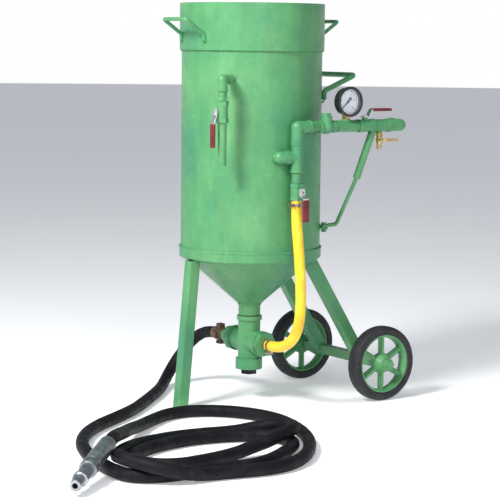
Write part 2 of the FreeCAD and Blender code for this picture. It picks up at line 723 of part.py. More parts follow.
def pipe_nipples():
    """Every short threaded nipple of the air line, and the blast nipple on the cross."""
    grip = SOCKET_DEPTH - 1.0
    valve_top = riser_point(BYPASS_Z + BYPASS_HALF)
    valve_end = run_point(INLET_X + INLET_HALF)
    ends = [
        (riser_point(RUN_Z - ELBOW_ARM), grip, riser_point(TEE_Z + 46), grip),
        (riser_point(TEE_Z - 47), grip, valve_top, VALVE_THREAD),
        (BRANCH - BRANCH_WAY * BRANCH_ARM, grip, riser_point(TEE_Z) + BRANCH_WAY * RISER_TEE_ARM, grip),
        (run_point(ELBOW_ARM), grip, run_point(CHECK_X - 32), grip),
        (valve_end, VALVE_THREAD, run_point(INLET_TEE_X - INLET_TEE_ARM + 0.01), grip),
        (run_point(INLET_TEE_X + 35), grip, run_point(END_ELBOW_X - ELBOW_ARM), grip),
    ]
    solids = []
    for start, first, end, last in ends:
        along = unit(end - start)
        solids.append(pipe(start - along * first, end + along * last, PIPE_R, PIPE_BORE))
    blast_in = at(0, CROSS_ARM + 6, BRANCH_Z)
    solids.append(pipe(blast_in, at(0, CLAW_Y - 14, BRANCH_Z), 19.0, 14.0))
    return solids


def check_valve_body():
    """A swing check valve's body, with an upright bonnet and a socket at each end."""
    centre = run_point(CHECK_X)
    outside = [ball(centre, 24.0), rod(centre, centre + Z * 29, 19.0)]
    inside = [ball(centre, 19.5), rod(centre, centre + Z * 40, 14.0)]
    for sign in (-1, 1):
        end = centre + X * (sign * 32)
        outside.append(rod(centre, end, 18.5))
        outside.append(hexagon(centre + X * (sign * 21), end, 38.0))
        inside.append(rod(centre, end, PIPE_BORE))
        inside.append(rod(end - X * (sign * SOCKET_DEPTH), end, SOCKET_R))
    return joined(outside).cut(joined(inside))


def check_valve_cap():
    centre = run_point(CHECK_X)
    plug = rod(centre + Z * 22, centre + Z * 30, 13.95)
    flange = rod(centre + Z * 29, centre + Z * 32, 19.0)
    head = hexagon(centre + Z * 32, centre + Z * 42, 28.0)
    return joined([plug, flange, head])


def gauge_pipe():
    """The nipple between the check valve and the inlet valve, with a welded boss for the gauge."""
    valve_end = run_point(INLET_X - INLET_HALF)
    check_end = run_point(CHECK_X + 32 - SOCKET_DEPTH + 1)
    outer = pipe(check_end, valve_end + X * VALVE_THREAD, PIPE_R, PIPE_BORE)
    sleeve = pipe(run_point(CHECK_X + 36), valve_end - X * 4, 18.5, PIPE_R - 0.5)
    boss = rod(run_point(GAUGE_X), run_point(GAUGE_X) + Z * 22, 14.0)
    body = joined([outer, sleeve, boss.cut(rod(run_point(150), run_point(225), PIPE_BORE))])
    return body.cut(rod(run_point(GAUGE_X), run_point(GAUGE_X) + Z * 23, 6.05))


def gauge_parts():
    """A Bourdon gauge that faces -Y: its case, dial, pointer, glass and brass stem."""
    base = at(GAUGE_X, GAUGE_BACK_Y, GAUGE_Z)
    front = Y * -1
    case = [(0, 0), (40, 0), (44, 4), (44, 24), (47.5, 24.5), (47.5, 33), (45.5, 34.5), (40.5, 34.5), (39.5, 31)]
    case += [(44, 31), (44, 28.5), (41, 28.5), (41, 2), (1.5, 2), (1.5, 21.5), (0, 21.5)]
    dial = turned([(1.55, 15), (40.95, 15), (40.95, 16.5), (1.55, 16.5)], base, front)
    glass = turned([(0, 28.55), (43.95, 28.55), (43.95, 30.95), (0, 30.95)], base, front)
    case = turned(case, base, front)
    stem_foot = at(GAUGE_X, RUN_Y, RUN_Z + 9)
    stem_top = at(GAUGE_X, RUN_Y, GAUGE_Z - 42.5)
    stem = [rod(stem_foot, stem_top, 6.0), hexagon(at(GAUGE_X, RUN_Y, RUN_Z + 22), stem_top, 24.0)]
    stem = joined(stem).cut(rod(base, base + front * 40, 43.99)).cut(rod(stem_foot, stem_top, 2.0))
    case = case.cut(rod(stem_top - Z * 4, stem_top + Z * 3, 2.0))
    return case, dial, gauge_pointer(base, front), glass, stem


def gauge_pointer(base, front):
    """The needle, at zero: it points down and to the left as seen from the front."""
    zero = math.radians(225)
    along = at(math.cos(zero), 0, math.sin(zero))
    half = [(33, 0.8), (4, 2.6), (-6, 2.4), (-10, 4.6), (-17, 4.6)]
    outline = [at(x, y, 0) for x, y in half] + [at(x, -y, 0) for x, y in half[::-1]]
    blade = Part.Face(Part.makePolygon(outline + outline[:1])).extrude(Z * 0.8)
    blade.translate(Z * 18.6)
    blade = placed(blade, base, along, front)
    hub = rod(base + front * 18.2, base + front * 20.6, 4.5)
    return joined([blade, hub]).cut(rod(base, base + front * 30, 1.5 + HINGE_FIT))


def inlet_valve():
    pieces = [valve_body(INLET_HALF, 20.0, 12.0, SOCKET_R, 17.5, 4.5, 26.0)]
    pieces.append(ball_and_stem(12.0, 17.5, 4.5, 26.0))
    pieces += valve_handle(4.5, 26.0, 19.0, 22.0, 24.0, 98.0)
    return fixed_to(run_point(INLET_X), X, Z, X, pieces)


def bypass_valve():
    pieces = [valve_body(BYPASS_HALF, 20.0, 12.0, SOCKET_R, 17.5, 4.5, 26.0)]
    pieces.append(ball_and_stem(12.0, 17.5, 4.5, 26.0))
    pieces += valve_handle(4.5, 26.0, 19.0, 22.0, 20.0, 88.0)
    return fixed_to(riser_point(BYPASS_Z), Z, Y * -1, Z * -1, pieces)


def drain_cock():
    """A small brass ball cock under the inlet tee, and its plug with the lever, closed."""
    top = run_point(INLET_TEE_X) - Z * 22
    centre = top - Z * 24
    thread = rod(top, top + Z * 6, 6.5)
    barrel = rod(centre - Z * 15, centre + Z * 15, 9.0)
    upper = hexagon(centre + Z * 11, top, 20.0)
    lower = hexagon(centre - Z * 23, centre - Z * 13, 17.0)
    outlet = rod(centre - Z * 30, centre - Z * 23, 7.0)
    boss = rod(centre, centre - Y * 14, 6.5)
    nub = rod(centre, centre + Y * 12, 5.0)
    body = joined([thread, barrel, upper, lower, outlet, boss, nub])
    body = body.cut(rod(centre - Z * 31, top + Z * 7, 4.0)).cut(ball(centre, 7.3))
    body = body.cut(rod(centre, centre - Y * 15, 2.5 + HINGE_FIT))
    plug = joined([ball(centre, 7.0), rod(centre, centre - Y * 19, 2.5)])
    plug = plug.cut(rod(centre - X * 8, centre + X * 8, 3.8))
    arm = lever_plate(9.0, 2.2, 6.0, 4.0, 12.0, 62.0, 14.5)
    arm = placed(arm, centre, X, Y * -1)
    lever = joined([plug, arm])
    return body, lever


# Hoses

def ellipse_slab(centre, long_axis, half_long, half_wide, low, high):
    curve = Part.Ellipse(at(0, 0, 0), half_long, half_wide).toShape()
    slab = Part.Face(Part.Wire([curve])).extrude(Z * (high - low))
    return placed(slab, at(centre.x, centre.y, low), long_axis, Z)


def blast_hose_coil(hose_end, holder_start, holder_aim):
    """The outer shape of the loose coil on the floor, open where its strands leave a gap."""
    slab = ellipse_slab(COIL_CENTRE, COIL_LONG, COIL_HALF_LONG, COIL_HALF_WIDE, 0.3, COIL_HEIGHT)
    across = Z.cross(COIL_LONG)
    gap = ellipse_slab(COIL_CENTRE - COIL_LONG * 294 - across * 7, across, 190, 112, -1, COIL_HEIGHT + 1)
    groove = rod(holder_start, holder_start + holder_aim * 400, 24.6)
    return slab.cut(gap).cut(groove).cut(hose_end)


def hose(points, section, label):
    radii = corner_radii(points)
    solid = swept(points, radii, section)
    length = route_wire(points, radii).Length
    ratio = solid.Volume / (math.pi * section ** 2 * length)
    print(label, "radii", [round(r) for r in radii], "length", round(length), "volume ratio", round(ratio, 4))
    return solid


def build():
    nodes["tank_shell"] = tank_shell()
    nodes["filler_collar"] = filler_collar()
    nodes["upper_head"] = upper_head()
    nodes["seat_seal"] = seat_seal()
    nodes["pop_up_valve"] = pop_up_valve()
    nodes["stand_pipe"] = stand_pipe()
    nodes["outlet_cone"] = outlet_cone()
    nodes["outlet_socket"] = outlet_socket()
    nodes["mixing_cross"] = mixing_cross()
    nodes["clean_out_plug"] = clean_out_plug()
    air_bushing = cross_bushing(-1, 10.55, AIR_BUSHING_HEX)
    nodes["cross_bushings"] = [air_bushing, cross_bushing(1, 19.05, BLAST_BUSHING_HEX)]
    air_face = at(0, -CROSS_ARM - AIR_BUSHING_HEX, BRANCH_Z)
    low_tail = hose_tail(air_face, Y * -1, 10.5, 14.0, 19.0, TAIL_COLLAR)
    high_tail = hose_tail(riser_point(BYPASS_TOP + 3), Z * -1, PIPE_R, VALVE_THREAD, 17.0, 3.0)
    nodes["hose_tails"] = [low_tail, high_tail]
    low_clamp = hose_clamp(air_face - Y * (TAIL_COLLAR + 12), Y, Z * -1, BYPASS_HOSE_R)
    high_clamp = hose_clamp(riser_point(BYPASS_TOP - 12), Z, X * -1, BYPASS_HOSE_R)
    nodes["hose_clamps"] = [low_clamp, high_clamp]
    bypass = hose(BYPASS_ROUTE, BYPASS_HOSE_R, "bypass hose")
    nodes["bypass_hose"] = bypass.cut(low_tail).cut(high_tail)
    joint = at(0, CLAW_Y, BRANCH_Z)
    tank_claw = claw_half(joint, Y * -1, Z, 28.0, 14.0)
    nodes["tank_claw"] = tank_claw.cut(rod(joint - Y * 30, joint - Y * 14, 19.05))
    nodes["hose_claw"] = claw_half(joint, Y, X, 34.0, 11.0)
    run = hose(BLAST_ROUTE, BLAST_HOSE_R, "blast hose run")
    nodes["blast_hose_run"] = run.cut(nodes["hose_claw"])
    nodes["blast_hose_coil"] = blast_hose_coil(run, HOLDER_START, HOLDER_AIM)
    nodes["nozzle_holder"], nodes["blast_nozzle"] = nozzle_parts(HOLDER_START, HOLDER_AIM)
    nodes["front_leg"] = front_leg()
    nodes["rear_legs"] = [rear_leg(-1), rear_leg(1)]
    nodes["axle_beam"] = axle_beam()
    nodes["axle_nuts"] = axle_nuts()
    for name, side in (("near", -1), ("far", 1)):
        nodes[name + "_rim"] = wheel_rim(side)
        nodes[name + "_tyre"] = wheel_tyre(side)
    nodes["lifting_handles"] = [lifting_handle(-1), lifting_handle(1)]
    nodes["push_handle"] = push_handle()
    nodes["brace_tube"] = brace_tube()
    nodes["brace_rod"] = brace_rod()
    nodes["brace_lug"] = brace_lug()
    nodes["brace_bolt"] = brace_bolt()
    nodes["vent_pipes"] = vent_pipes()
    for prefix, pieces in (("vent", vent_valve()), ("inlet", inlet_valve()), ("bypass", bypass_valve())):
        for suffix, shape in zip(("valve_body", "ball", "lever", "grip"), pieces):
            nodes[prefix + "_" + suffix] = shape
    nodes["pipe_elbows"] = pipe_elbows()
    nodes["pipe_tees"] = pipe_tees()
    nodes["pipe_nipples"] = pipe_nipples()
    nodes["check_valve_body"] = check_valve_body()
    nodes["check_valve_cap"] = check_valve_cap()
    nodes["gauge_pipe"] = gauge_pipe()
    gauge = gauge_parts()
    for suffix, shape in zip(("case", "dial", "pointer", "glass", "stem"), gauge):
        nodes["gauge_" + suffix] = shape
    nodes["drain_body"], nodes["drain_lever"] = drain_cock()


def is_cord(name):
    on_hose = ("bypass_hose", "hose_claw", "nozzle_holder", "blast_nozzle")
    return name.startswith("blast_hose") or name in on_hose


def write():
    os.makedirs("parts", exist_ok=True)
    shapes = {}
    for name, shape in nodes.items():
        shapes[name] = Part.makeCompound(shape) if isinstance(shape, list) else shape
    own = Part.makeCompound([shape for name, shape in shapes.items() if not is_cord(name)])
    box = own.BoundBox
    shift = at(-(box.XMin + box.XMax) / 2, -(box.YMin + box.YMax) / 2, -box.ZMin)
    print("nodes", len(shapes), "shift", [round(value, 3) for value in shift])
    for name, shape in shapes.items():
        shape.translate(shift)
        if not shape.isValid():
            print("not valid:", name)
        print(name, "solids", len(shape.Solids), "volume", round(shape.Volume / 1000, 1), "cm3")
        shape.exportStep("parts/" + name + ".step")


build()
write()
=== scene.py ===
import json
import math

import bmesh
import bpy
from mathutils import Matrix, Vector, noise


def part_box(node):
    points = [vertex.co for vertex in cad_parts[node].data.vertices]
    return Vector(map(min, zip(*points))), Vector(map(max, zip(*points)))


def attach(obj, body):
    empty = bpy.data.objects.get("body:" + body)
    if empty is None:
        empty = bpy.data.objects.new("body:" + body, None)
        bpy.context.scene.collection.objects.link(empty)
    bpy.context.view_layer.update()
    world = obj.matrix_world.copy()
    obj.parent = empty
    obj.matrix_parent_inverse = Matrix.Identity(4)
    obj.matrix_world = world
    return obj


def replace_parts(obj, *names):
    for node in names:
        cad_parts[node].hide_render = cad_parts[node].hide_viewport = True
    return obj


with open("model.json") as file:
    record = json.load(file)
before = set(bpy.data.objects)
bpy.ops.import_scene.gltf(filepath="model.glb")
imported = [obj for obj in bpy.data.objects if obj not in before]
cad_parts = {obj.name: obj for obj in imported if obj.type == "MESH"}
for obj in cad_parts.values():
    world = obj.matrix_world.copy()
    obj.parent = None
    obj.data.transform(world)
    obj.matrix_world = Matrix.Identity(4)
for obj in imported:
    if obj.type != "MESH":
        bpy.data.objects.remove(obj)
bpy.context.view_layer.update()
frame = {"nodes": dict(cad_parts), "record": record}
nodes = frame["nodes"]

# The tank's upright axis, from which every other place is counted, as in part.py.
shell_low, shell_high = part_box("tank_shell")
AXIS_X = (shell_low.x + shell_high.x) / 2
AXIS_Y = (shell_low.y + shell_high.y) / 2
X, Y, Z = Vector((1, 0, 0)), Vector((0, 1, 0)), Vector((0, 0, 1))

# Driving sizes, in millimetres, the same as part.py's.
TANK_R = 225.0
COLLAR_LOW = 1137.0
BAND_LOW = 472.0
SHELL_LOW = 506.0
CONE_TOP_R = 210.0
NECK_R = 35.5
NECK_TOP = 318.0
BRANCH_Z = 196.0
RUN_Y = -256.0
RUN_Z = 903.0
AXLE_X = 371.5
WHEEL_R = 122.5
WHEEL_Y = 223.0
RIM_R = 95.0
BLAST_HOSE_R = 19.0
BYPASS_HOSE_R = 17.0
VENT_TURN = math.radians(-140.8)
VENT_REACH = 308.0


def at(x, y, z):
    """A point counted in millimetres from the tank's axis and the floor, in the row frame."""
    return Vector((AXIS_X + x / 1000, AXIS_Y + y / 1000, z / 1000))


def vent_at(reach, z):
    return at(reach * math.cos(VENT_TURN), reach * math.sin(VENT_TURN), z)


# Camera

CAMERA_AZIMUTH = math.radians(-34.1)
CAMERA_ELEVATION = math.radians(6.7)
CAMERA_ROLL = math.radians(0.6)
CAMERA_DISTANCE = 5.836
CAMERA_LENS = 129.6


def make_camera():
    a, e, roll = CAMERA_AZIMUTH, CAMERA_ELEVATION, CAMERA_ROLL
    back = Vector((math.sin(a) * math.cos(e), -math.cos(a) * math.cos(e), math.sin(e)))
    right = Vector((math.cos(a), math.sin(a), 0))
    up = back.cross(right)
    across = right * math.cos(roll) + up * math.sin(roll)
    upward = up * math.cos(roll) - right * math.sin(roll)
    data = bpy.data.cameras.new("camera")
    data.lens = CAMERA_LENS
    camera = bpy.data.objects.new("camera", data)
    bpy.context.scene.collection.objects.link(camera)
    turn = Matrix((across, upward, back)).transposed().to_4x4()
    camera.matrix_world = Matrix.Translation(at(0, 0, 493.4) + back * CAMERA_DISTANCE) @ turn
    bpy.context.scene.camera = camera


make_camera()


# Cords. Each is one smooth spline whose control points are its route, in metres from the tank's axis.

BYPASS_ROUTE = [
    (0.000, -0.256, 0.673),
    (0.000, -0.256, 0.613),
    (0.000, -0.268, 0.543),
    (0.000, -0.281, 0.448),
    (0.000, -0.287, 0.363),
    (0.000, -0.281, 0.296),
    (0.000, -0.258, 0.245),
    (0.000, -0.214, 0.211),
    (0.000, -0.160, 0.196),
    (0.000, -0.110, 0.196),
]
BLAST_ROUTE = [
    (0.000, 0.202, 0.196),
    (-0.002, 0.255, 0.192),
    (-0.012, 0.302, 0.168),
    (-0.033, 0.336, 0.128),
    (-0.066, 0.346, 0.083),
    (-0.104, 0.331, 0.045),
    (-0.148, 0.289, 0.024),
    (-0.198, 0.229, 0.0195),
    (-0.262, 0.159, 0.0195),
    (-0.345, 0.076, 0.0195),
    (-0.440, -0.017, 0.0195),
    (-0.548, -0.096, 0.0195),
    (-0.655, -0.166, 0.0195),
    (-0.745, -0.250, 0.0195),
    (-0.815, -0.352, 0.0195),
    (-0.862, -0.470, 0.0195),
    (-0.888, -0.590, 0.0195),
    (-0.899, -0.690, 0.0195),
]
COIL_ROUTE = [
    (-0.893, -0.752, 0.0195),
    (-0.856, -0.790, 0.0195),
    (-0.800, -0.808, 0.0195),
    (-0.735, -0.809, 0.0195),
    (-0.668, -0.811, 0.0195),
    (-0.600, -0.824, 0.0195),
    (-0.532, -0.828, 0.0195),
    (-0.466, -0.803, 0.0195),
    (-0.402, -0.763, 0.0195),
    (-0.341, -0.717, 0.0195),
    (-0.290, -0.669, 0.0195),
    (-0.277, -0.600, 0.0195),
    (-0.307, -0.537, 0.0195),
    (-0.368, -0.502, 0.0195),
    (-0.432, -0.480, 0.0195),
    (-0.505, -0.470, 0.0195),
    (-0.580, -0.476, 0.0195),
    (-0.655, -0.496, 0.0195),
    (-0.728, -0.528, 0.0195),
    (-0.782, -0.580, 0.0195),
    (-0.795, -0.640, 0.0195),
    (-0.765, -0.695, 0.0195),
    (-0.705, -0.722, 0.0195),
    (-0.635, -0.716, 0.0195),
    (-0.570, -0.706, 0.0195),
    (-0.510, -0.694, 0.021),
    (-0.455, -0.692, 0.032),
    (-0.400, -0.698, 0.045),
    (-0.345, -0.680, 0.055),
    (-0.282, -0.655, 0.058),
    (-0.246, -0.597, 0.055),
    (-0.251, -0.529, 0.046),
    (-0.295, -0.477, 0.031),
    (-0.361, -0.457, 0.021),
    (-0.430, -0.434, 0.0195),
    (-0.502, -0.424, 0.0195),
    (-0.575, -0.424, 0.0195),
    (-0.645, -0.437, 0.0195),
    (-0.712, -0.462, 0.021),
    (-0.766, -0.510, 0.026),
    (-0.815, -0.563, 0.032),
    (-0.852, -0.622, 0.041),
    (-0.884, -0.688, 0.058),
    (-0.888, -0.752, 0.060),
    (-0.868, -0.802, 0.056),
    (-0.822, -0.836, 0.044),
    (-0.765, -0.851, 0.028),
    (-0.700, -0.852, 0.0195),
    (-0.632, -0.863, 0.0195),
    (-0.562, -0.880, 0.0195),
    (-0.492, -0.884, 0.0195),
    (-0.422, -0.860, 0.0195),
    (-0.358, -0.815, 0.0195),
    (-0.300, -0.755, 0.0195),
    (-0.250, -0.688, 0.0195),
    (-0.208, -0.615, 0.0195),
    (-0.176, -0.538, 0.0195),
    (-0.154, -0.458, 0.0195),
    (-0.144, -0.378, 0.0195),
    (-0.154, -0.300, 0.0195),
    (-0.188, -0.226, 0.0195),
    (-0.242, -0.165, 0.0195),
    (-0.312, -0.130, 0.0195),
    (-0.388, -0.134, 0.0195),
    (-0.458, -0.172, 0.0195),
    (-0.522, -0.220, 0.021),
    (-0.588, -0.280, 0.028),
    (-0.652, -0.346, 0.040),
    (-0.712, -0.420, 0.053),
    (-0.766, -0.486, 0.066),
    (-0.815, -0.550, 0.079),
    (-0.852, -0.598, 0.087),
]
HOLDER_START = (-0.884, -0.628, 0.080)


def cord_curve(name, route, radius):
    """A hose along its route. Each point's radius carries the thickness, which keeps the bounds tight."""
    curve = bpy.data.curves.new(name, "CURVE")
    curve.dimensions = "3D"
    curve.resolution_u = 12
    curve.bevel_depth = 1.0
    curve.bevel_resolution = 6
    curve.use_fill_caps = True
    spline = curve.splines.new("NURBS")
    spline.points.add(len(route) - 1)
    for point, (x, y, z) in zip(spline.points, route):
        point.co = (AXIS_X + x, AXIS_Y + y, z, 1)
        point.radius = radius / 1000
    spline.order_u = 3
    spline.use_endpoint_u = True
    cord = bpy.data.objects.new(name, curve)
    bpy.context.scene.collection.objects.link(cord)
    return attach(cord, "pot")


bypass_hose = cord_curve("bypass_hose_soft", BYPASS_ROUTE, BYPASS_HOSE_R)
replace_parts(bypass_hose, "bypass_hose")
blast_hose = cord_curve("blast_hose", BLAST_ROUTE + COIL_ROUTE + [HOLDER_START], BLAST_HOSE_R)
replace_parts(blast_hose, "blast_hose_run", "blast_hose_coil")


# Materials

class Surface:
    """A material of shader nodes, with short names for the few kinds that the object needs."""

    def __init__(self, name):
        self.made = bpy.data.materials.new(name)
        self.made.use_nodes = True
        self.tree = self.made.node_tree
        self.shader = self.tree.nodes["Principled BSDF"]
        self.place = self.node("ShaderNodeTexCoord").outputs["Object"]

    def node(self, kind, **settings):
        made = self.tree.nodes.new(kind)
        for name, value in settings.items():
            setattr(made, name, value)
        return made

    def link(self, output, socket):
        self.tree.links.new(output, socket)

    def noise(self, scale, detail=4.0, rough=0.55, stretch=None):
        texture = self.node("ShaderNodeTexNoise")
        texture.inputs["Scale"].default_value = scale
        texture.inputs["Detail"].default_value = detail
        texture.inputs["Roughness"].default_value = rough
        place = self.place
        if stretch:
            mapping = self.node("ShaderNodeMapping")
            mapping.inputs["Scale"].default_value = stretch
            self.link(self.place, mapping.inputs["Vector"])
            place = mapping.outputs["Vector"]
        self.link(place, texture.inputs["Vector"])
        return texture.outputs["Fac"]

    def cells(self, scale):
        texture = self.node("ShaderNodeTexVoronoi")
        texture.inputs["Scale"].default_value = scale
        self.link(self.place, texture.inputs["Vector"])
        return texture.outputs["Distance"]

    def ramp(self, value, stops):
        ramp = self.node("ShaderNodeValToRGB")
        while len(ramp.color_ramp.elements) < len(stops):
            ramp.color_ramp.elements.new(0.5)
        for element, (place, colour) in zip(ramp.color_ramp.elements, stops):
            element.position = place
            element.color = (*colour, 1) if isinstance(colour, tuple) else (colour, colour, colour, 1)
        self.link(value, ramp.inputs["Fac"])
        return ramp.outputs["Color"]

    def mix(self, share, first, second, blend="MIX"):
        mix = self.node("ShaderNodeMix", data_type="RGBA", blend_type=blend)
        for value, socket in ((share, mix.inputs[0]), (first, mix.inputs[6]), (second, mix.inputs[7])):
            if isinstance(value, bpy.types.NodeSocket):
                self.link(value, socket)
            elif isinstance(value, tuple):
                socket.default_value = (*value, 1)
            else:
                socket.default_value = value
        return mix.outputs[2]

    def colour(self, output):
        self.link(output, self.shader.inputs["Base Color"])

    def rough(self, value, low, high):
        self.link(self.ramp(value, [(0.25, low), (0.75, high)]), self.shader.inputs["Roughness"])

    def bump(self, heights, edge=0.0):
        """Bumps, each (output, depth in metres), on normals that an edge radius rounds."""
        normal = None
        if edge:
            rounding = self.node("ShaderNodeBevel", samples=4)
            rounding.inputs["Radius"].default_value = edge
            normal = rounding.outputs["Normal"]
        for output, depth in heights:
            bump = self.node("ShaderNodeBump")
            bump.inputs["Strength"].default_value = 1.0
            bump.inputs["Distance"].default_value = depth
            self.link(output, bump.inputs["Height"])
            if normal:
                self.link(normal, bump.inputs["Normal"])
            normal = bump.outputs["Normal"]
        self.link(normal, self.shader.inputs["Normal"])

    def set(self, **values):
        for name, value in values.items():
            self.shader.inputs[name.replace("_", " ")].default_value = value
        return self.made


def green_paint():
    """Brushed and sprayed enamel: hue drifts from blue-green to yellow-green, with dust and a few chips."""
    s = Surface("green_paint")
    drift = s.ramp(
        s.noise(3.2, 5.0, 0.6),
        [(0.30, (0.040, 0.235, 0.125)), (0.50, (0.078, 0.305, 0.115)), (0.72, (0.145, 0.390, 0.155))],
    )
    streaks = s.ramp(s.noise(26.0, 6.0, 0.65, (1.0, 1.0, 0.22)), [(0.36, 0.80), (0.66, 1.0)])
    body = s.mix(0.75, drift, streaks, "MULTIPLY")
    mottle = s.ramp(s.noise(140.0, 3.0), [(0.38, 0.88), (0.62, 1.0)])
    body = s.mix(0.6, body, mottle, "MULTIPLY")
    dust = s.ramp(s.noise(60.0, 8.0, 0.7), [(0.60, 0.0), (0.74, 0.35)])
    body = s.mix(dust, body, (0.34, 0.50, 0.33))
    chips = s.ramp(s.noise(210.0, 4.0, 0.5), [(0.765, 0.0), (0.775, 1.0)])
    s.colour(s.mix(chips, body, (0.030, 0.055, 0.040)))
    s.rough(s.noise(38.0, 5.0), 0.32, 0.55)
    s.bump([(s.noise(420.0, 3.0), 0.00018), (s.noise(45.0, 4.0), 0.0005), (chips, -0.0003)], edge=0.0016)
    return s.set(Metallic=0.0, Coat_Weight=0.12, Coat_Roughness=0.22)


def hose_rubber():
    """Black hose with a cloth-wrapped skin, dusted with grit."""
    s = Surface("hose_rubber")
    weave = s.noise(900.0, 2.0, 0.5)
    dust = s.ramp(s.noise(24.0, 8.0, 0.72), [(0.52, 0.0), (0.80, 0.75)])
    base = s.ramp(s.noise(9.0, 4.0), [(0.35, (0.001, 0.001, 0.004)), (0.65, (0.005, 0.003, 0.005))])
    tint = s.ramp(s.noise(55.0, 4.0), [(0.35, (0.020, 0.018, 0.036)), (0.65, (0.042, 0.027, 0.028))])
    s.colour(s.mix(dust, base, tint))
    s.rough(s.noise(30.0, 6.0), 0.42, 0.80)
    s.bump([(weave, 0.0006), (s.noise(120.0, 4.0), 0.0010)])
    return s.set(Metallic=0.0, Specular_IOR_Level=0.22)


def yellow_rubber():
    s = Surface("yellow_rubber")
    tone = s.ramp(s.noise(14.0, 4.0), [(0.35, (0.86, 0.50, 0.015)), (0.62, (0.96, 0.68, 0.030))])
    grime = s.ramp(s.noise(90.0, 7.0, 0.7), [(0.60, 0.0), (0.80, 0.5)])
    s.colour(s.mix(grime, tone, (0.40, 0.20, 0.03)))
    s.rough(s.noise(40.0), 0.30, 0.50)
    s.bump([(s.noise(260.0, 3.0), 0.0003)])
    return s.set(Metallic=0.0, Coat_Weight=0.15, Coat_Roughness=0.25)


def tyre_rubber():
    s = Surface("tyre_rubber")
    base = s.ramp(s.noise(16.0, 5.0), [(0.35, (0.007, 0.008, 0.012)), (0.65, (0.020, 0.019, 0.022))])
    dust = s.ramp(s.noise(70.0, 8.0, 0.7), [(0.52, 0.0), (0.80, 0.6)])
    s.colour(s.mix(dust, base, (0.085, 0.080, 0.080)))
    s.rough(s.noise(50.0), 0.45, 0.75)
    s.bump([(s.noise(500.0, 3.0), 0.0004), (s.noise(60.0, 4.0), 0.0006)])
    return s.set(Metallic=0.0)


def seal_rubber():
    s = Surface("seal_rubber")
    s.colour(s.ramp(s.noise(30.0), [(0.4, (0.010, 0.010, 0.011)), (0.6, (0.024, 0.023, 0.023))]))
    s.rough(s.noise(80.0), 0.55, 0.8)
    s.bump([(s.noise(300.0), 0.0003)])
    return s.set(Metallic=0.0)


def metal(name, dark, light, low, high, stain, edge=0.0008, grain=600.0):
    """A bare or plated metal with stains in random patches and fine tool or casting marks."""
    s = Surface(name)
    tone = s.ramp(s.noise(35.0, 5.0), [(0.35, dark), (0.65, light)])
    marks = s.ramp(s.noise(120.0, 7.0, 0.7), [(0.58, 0.0), (0.78, 0.6)])
    s.colour(s.mix(marks, tone, stain))
    s.rough(s.noise(90.0, 5.0), low, high)
    s.bump([(s.noise(grain, 3.0), 0.00012), (s.noise(90.0, 3.0), 0.0002)], edge=edge)
    return s.set(Metallic=1.0)


def cast_iron(name, dark, light, grain):
    s = Surface(name)
    rust = s.ramp(s.noise(48.0, 7.0, 0.7), [(0.52, 0.0), (0.74, 0.75)])
    tone = s.ramp(s.noise(22.0, 5.0), [(0.35, dark), (0.65, light)])
    s.colour(s.mix(rust, tone, (0.18, 0.10, 0.055)))
    s.rough(s.noise(70.0), 0.42, 0.72)
    s.bump([(s.noise(grain, 4.0), 0.0005)], edge=0.0012)
    return s.set(Metallic=0.55)


def red_sleeve():
    """Dip-moulded sleeve: glossy dark red with a pebbled skin."""
    s = Surface("red_sleeve")
    s.colour(s.ramp(s.noise(60.0), [(0.35, (0.090, 0.001, 0.005)), (0.65, (0.190, 0.004, 0.010))]))
    s.rough(s.noise(110.0), 0.24, 0.42)
    s.bump([(s.cells(700.0), 0.0003)])
    return s.set(Metallic=0.0, Coat_Weight=0.3, Coat_Roughness=0.15)


def gauge_black():
    s = Surface("gauge_black")
    s.colour(s.ramp(s.noise(40.0), [(0.4, (0.006, 0.006, 0.010)), (0.6, (0.016, 0.015, 0.018))]))
    s.rough(s.noise(90.0), 0.22, 0.42)
    s.bump([(s.noise(800.0), 0.0001)], edge=0.0008)
    return s.set(Metallic=0.0, Coat_Weight=0.4, Coat_Roughness=0.12)


def dial_white():
    s = Surface("dial_white")
    s.colour(s.ramp(s.noise(40.0), [(0.35, (0.80, 0.87, 0.94)), (0.65, (0.90, 0.94, 0.97))]))
    s.rough(s.noise(60.0), 0.45, 0.6)
    s.bump([(s.noise(900.0), 0.00003)])
    return s.set(Metallic=0.0)


def clear_glass():
    s = Surface("clear_glass")
    s.rough(s.noise(45.0), 0.02, 0.12)
    s.bump([(s.noise(30.0), 0.00003)])
    return s.set(Base_Color=(0.92, 0.96, 1.0, 1), Alpha=0.06, Metallic=0.0)


def dial_ink():
    s = Surface("dial_ink")
    s.colour(s.ramp(s.noise(300.0), [(0.4, (0.010, 0.010, 0.014)), (0.6, (0.030, 0.028, 0.040))]))
    s.rough(s.noise(200.0), 0.4, 0.6)
    return s.set(Metallic=0.0)


